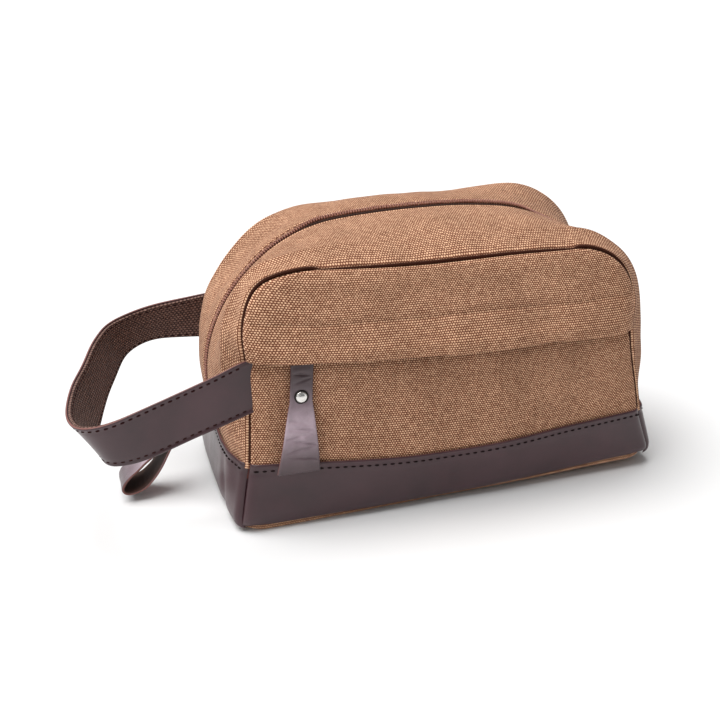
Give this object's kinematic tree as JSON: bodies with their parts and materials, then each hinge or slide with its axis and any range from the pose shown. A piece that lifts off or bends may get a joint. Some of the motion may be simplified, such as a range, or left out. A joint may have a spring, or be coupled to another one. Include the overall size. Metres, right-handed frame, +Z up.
{
  "type": "shaving kit bag",
  "caption": "Soft canvas wash bag with a leather base band, a curved zip over the top, a flap pocket in front and a side wrist strap.",
  "frame": {"origin": "centre of the base's underside, where the bag stands", "axes": "+X to the right along the bag's length, +Y to the back, +Z up; the pocket faces -Y and the wrist strap is at the -X end"},
  "size_m": [0.3387, 0.1522, 0.1615],
  "materials": {
    "canvas": "woven cotton canvas, matt",
    "leather": "smooth dark brown, satin",
    "webbing": "twill webbing, matt",
    "zip_tape": "herringbone tape, matt",
    "zip_coil": "nylon coil, satin",
    "lining": "plain woven lining, matt",
    "nickel": "polished nickel",
    "board": "plain stiffener board"
  },
  "bodies": {
    "bag": {"base_panel": "canvas", "pocket_panel": "canvas", "front_yoke": "canvas", "back_panel": "canvas", "gusset_left_front": "canvas", "gusset_right_front": "canvas", "gusset_left_rear": "canvas", "gusset_right_rear": "canvas", "leather_band_front": "leather", "leather_band_back": "leather", "leather_band_left": "leather", "leather_band_right": "leather", "zip_tape_left_front": "zip_tape", "zip_tape_right_front": "zip_tape", "zip_tape_left_rear": "zip_tape", "zip_tape_right_rear": "zip_tape", "pocket_zip_tape_lower": "zip_tape", "pocket_zip_tape_upper": "zip_tape", "zip_coil_left_front": "zip_coil", "zip_coil_right_front": "zip_coil", "zip_coil_left_rear": "zip_coil", "zip_coil_right_rear": "zip_coil", "pocket_zip_coil_lower": "zip_coil", "pocket_zip_coil_upper": "zip_coil", "lining_base": "lining", "lining_front": "lining", "lining_back": "lining", "lining_end_left": "lining", "lining_end_right": "lining", "pocket_backing": "lining", "slip_pocket": "lining", "lining_gusset_left_front": "lining", "lining_gusset_right_front": "lining", "lining_gusset_left_rear": "lining", "lining_gusset_right_rear": "lining", "base_board": "board"},
    "mouth_front": {"gusset_top_front": "canvas", "zip_tape_top_front": "zip_tape", "zip_coil_top_front": "zip_coil", "lining_gusset_top_front": "lining"},
    "mouth_rear": {"gusset_top_rear": "canvas", "zip_tape_top_rear": "zip_tape", "zip_coil_top_rear": "zip_coil", "lining_gusset_top_rear": "lining"},
    "main_slider": {"main_slider": "nickel"},
    "main_bail": {"main_bail": "nickel"},
    "main_pull": {"main_pull": "leather", "main_pull_rivet": "nickel"},
    "pocket_slider": {"pocket_slider": "nickel", "pocket_bail": "nickel"},
    "pocket_pull": {"pocket_pull": "leather", "pocket_pull_rivet": "nickel"},
    "wrist_strap": {"strap_leather": "leather", "strap_webbing": "webbing"}
  },
  "joints": [
    {"name": "mouth_front_open", "type": "hinge", "parent": "bag", "child": "mouth_front", "pos_m": [0, -0.0604, 0.15], "axis": [1, 0, 0], "range_deg": [0, 70]},
    {"name": "mouth_rear_open", "type": "hinge", "parent": "bag", "child": "mouth_rear", "pos_m": [0, 0.0604, 0.15], "axis": [-1, 0, 0], "range_deg": [0, 70]},
    {"name": "main_slider_travel", "type": "hinge", "parent": "bag", "child": "main_slider", "pos_m": [-0.042, 0, 0.07], "axis": [0, 1, 0], "range_deg": [0, 72]},
    {"name": "main_bail_swing", "type": "hinge", "parent": "main_slider", "child": "main_bail", "pos_m": [-0.1325, 0, 0.05404], "axis": [0, 1, 0], "range_deg": [-4, 34]},
    {"name": "main_pull_swing", "type": "hinge", "parent": "main_bail", "child": "main_pull", "pos_m": [-0.14217, 0, 0.04534], "axis": [0, 1, 0], "range_deg": [-2, 45]},
    {"name": "pocket_slider_travel", "type": "hinge", "parent": "bag", "child": "pocket_slider", "pos_m": [0, 0.69566, 0.108], "axis": [0, 0, 1], "range_deg": [0, 12.9]},
    {"name": "pocket_pull_swing", "type": "hinge", "parent": "pocket_slider", "child": "pocket_pull", "pos_m": [-0.088, -0.06948, 0.096], "axis": [-1, 0, 0], "range_deg": [0, 70]},
    {"name": "wrist_strap_swing", "type": "hinge", "parent": "bag", "child": "wrist_strap", "pos_m": [-0.1242, 0, 0.0823], "axis": [0, 1, 0], "range_deg": [-8, 60]}
  ]
}
